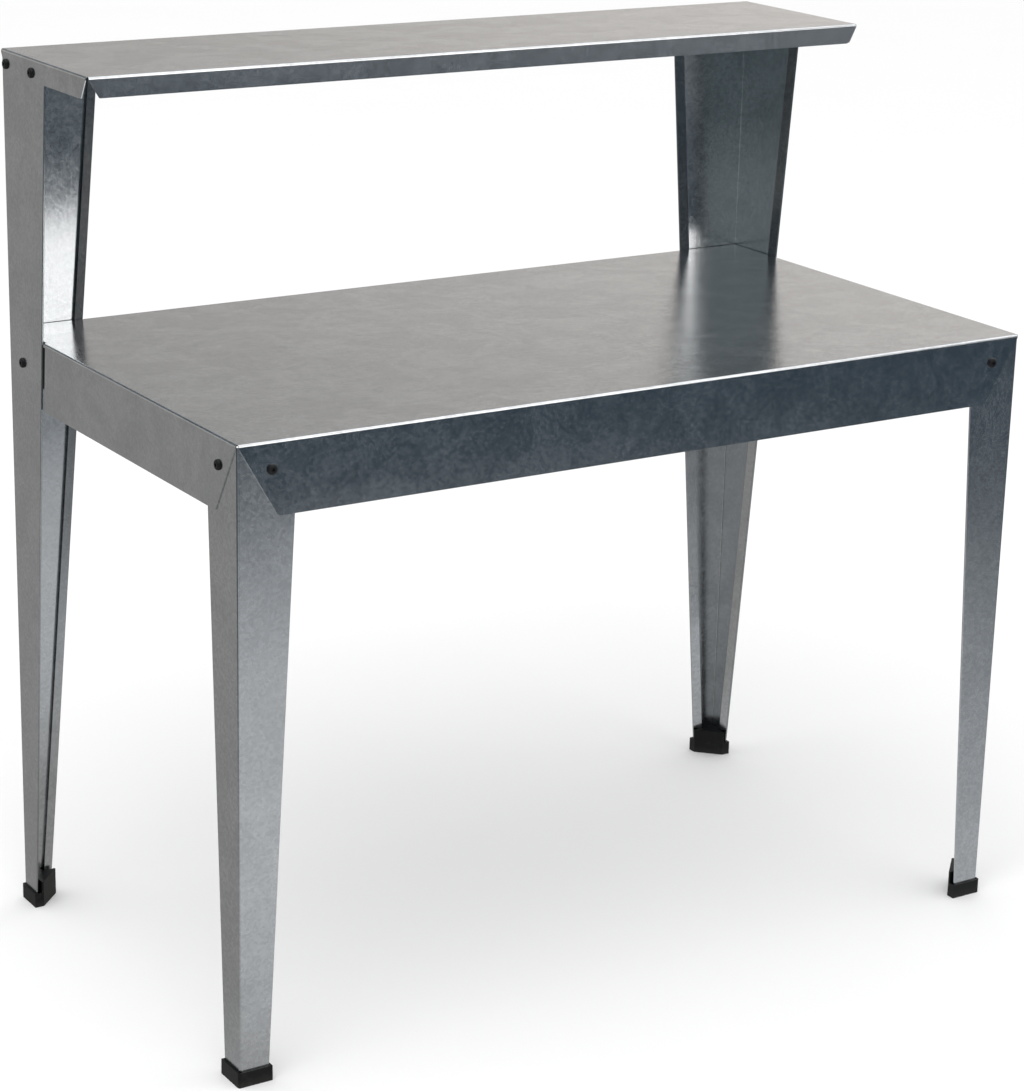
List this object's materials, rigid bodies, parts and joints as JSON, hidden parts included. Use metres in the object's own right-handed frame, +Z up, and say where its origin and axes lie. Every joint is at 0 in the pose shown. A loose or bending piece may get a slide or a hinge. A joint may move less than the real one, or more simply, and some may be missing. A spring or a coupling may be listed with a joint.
{
  "type": "two-tier work bench",
  "caption": "Galvanised sheet-steel potting bench with a flat apron-edged worktop on tapered angle legs and a narrow upper rear shelf.",
  "frame": {"origin": "on the floor under the middle of the bench, centred on its overall width and depth", "axes": "+X along the worktop to the right seen from the front, +Y towards the shelf at the rear, +Z up"},
  "size_m": [1.1268, 0.6178, 1.117],
  "materials": {
    "worktop_sheet": "hot-dip galvanised sheet, cool grey with a fine spangle and cloudy mottling, satin",
    "shelf_sheet": "hot-dip galvanised sheet, cool grey with a fine spangle and cloudy mottling, satin",
    "leg_sheet": "hot-dip galvanised sheet, cool grey with a fine spangle and cloudy mottling, satin",
    "upright_sheet": "hot-dip galvanised sheet, cool grey with a fine spangle and cloudy mottling, satin",
    "foot_rubber": "moulded black, matt",
    "black_bolt": "black oxide, low sheen",
    "black_washer": "black oxide, low sheen",
    "black_nut": "black oxide, low sheen"
  },
  "bodies": {
    "root": {"front_left_bolts": "black_bolt", "front_left_foot": "foot_rubber", "front_left_leg": "leg_sheet", "front_left_nuts": "black_nut", "front_left_washers": "black_washer", "front_right_bolts": "black_bolt", "front_right_foot": "foot_rubber", "front_right_leg": "leg_sheet", "front_right_nuts": "black_nut", "front_right_washers": "black_washer", "rear_left_bolts": "black_bolt", "rear_left_foot": "foot_rubber", "rear_left_nuts": "black_nut", "rear_left_upright": "upright_sheet", "rear_left_washers": "black_washer", "rear_right_bolts": "black_bolt", "rear_right_foot": "foot_rubber", "rear_right_nuts": "black_nut", "rear_right_upright": "upright_sheet", "rear_right_washers": "black_washer", "shelf_left_bolts": "black_bolt", "shelf_left_nuts": "black_nut", "shelf_left_washers": "black_washer", "shelf_right_bolts": "black_bolt", "shelf_right_nuts": "black_nut", "shelf_right_washers": "black_washer", "upper_shelf": "shelf_sheet", "worktop": "worktop_sheet"}
  },
  "joints": []
}
